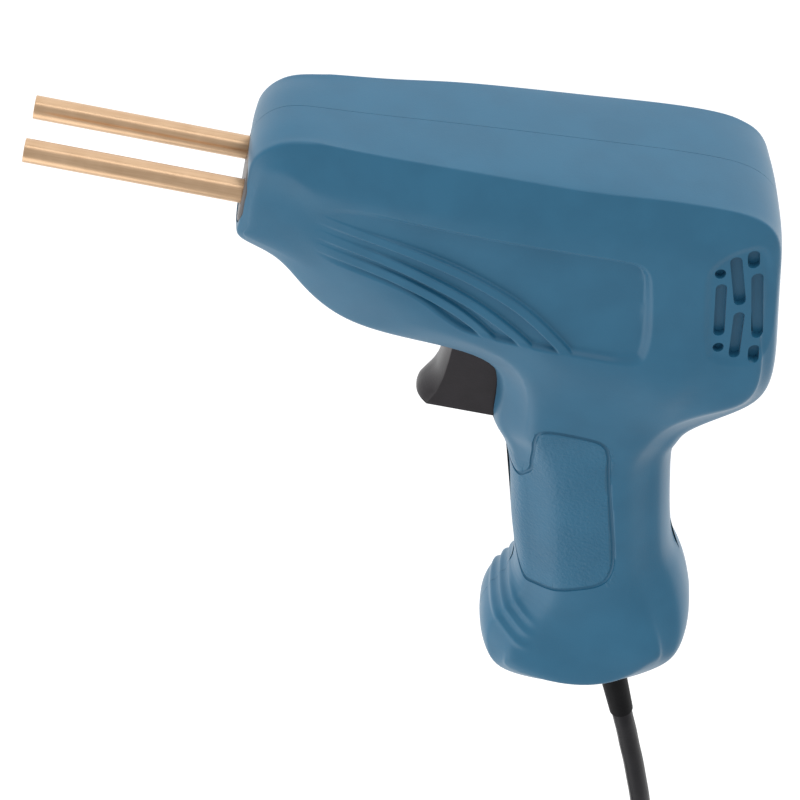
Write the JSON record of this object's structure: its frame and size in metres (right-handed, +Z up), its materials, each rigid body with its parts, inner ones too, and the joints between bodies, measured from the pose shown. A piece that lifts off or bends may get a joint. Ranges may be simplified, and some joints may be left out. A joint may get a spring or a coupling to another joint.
{
  "type": "hand-held electrode welding gun",
  "caption": "Pistol-shaped low-voltage plastic welding gun (hot stapler) with brass electrode rods, squeeze trigger, clamshell casing and mains cord, lying on its side.",
  "frame": {"origin": "point of the flat right cheek that the tool lies on, behind the side panel", "axes": "X from the nose to the rear, along the electrode rods; Y towards the tool's top; Z up, towards the tool's left side, square to the parting plane"},
  "size_m": [0.2322, 0.3745, 0.0484],
  "materials": {
    "shell": "fine matt moulded nylon, teal blue",
    "black_plastic": "satin black moulding",
    "cord": "black cable sheath",
    "insulator": "grey heat-resistant moulding",
    "brass": "drawn brass rod",
    "copper": "drawn copper strip",
    "steel": "zinc plated",
    "core": "varnished lamination stack",
    "winding": "enamelled copper wire",
    "nylon": "natural nylon"
  },
  "bodies": {
    "casing": {"left_shell": "shell", "right_shell": "shell", "nose_plate": "insulator", "electrode_carrier": "insulator", "electrode_rod_left": "brass", "rod_clamp_left": "brass", "clamp_screw_left": "steel", "electrode_rod_right": "brass", "rod_clamp_right": "brass", "clamp_screw_right": "steel", "transformer_core": "core", "primary_coil": "winding", "secondary_loop": "copper", "switch_body": "black_plastic", "lead_live": "cord", "lead_switched": "cord", "lead_neutral": "cord", "strain_relief": "cord", "inner_cord": "cord", "cord_clamp": "nylon", "cord_clamp_screw_1": "steel", "cord_clamp_screw_2": "steel", "power_cord": "cord", "cord_coil": "cord", "cord_tail": "cord", "plug_relief": "cord", "plug_body": "cord", "plug_pin_1": "steel", "plug_pin_2": "steel", "housing_screw_1": "steel", "housing_screw_2": "steel", "housing_screw_3": "steel", "housing_screw_4": "steel", "housing_screw_5": "steel", "housing_screw_6": "steel"},
    "trigger": {"trigger": "black_plastic", "trigger_spring": "steel"},
    "plunger": {"switch_plunger": "nylon"}
  },
  "joints": [
    {"name": "trigger_slide", "type": "slide", "parent": "casing", "child": "trigger", "axis": [1, 0, 0], "range_m": [0, 0.005], "stiffness_N_per_m": 900, "springref_m": -0.004, "deforming": ["trigger_spring"]},
    {"name": "plunger_slide", "type": "slide", "parent": "casing", "child": "plunger", "axis": [1, 0, 0], "range_m": [0, 0.005]}
  ],
  "couplings": [
    {"joint": "plunger_slide", "follows": "trigger_slide", "ratio": 1}
  ]
}
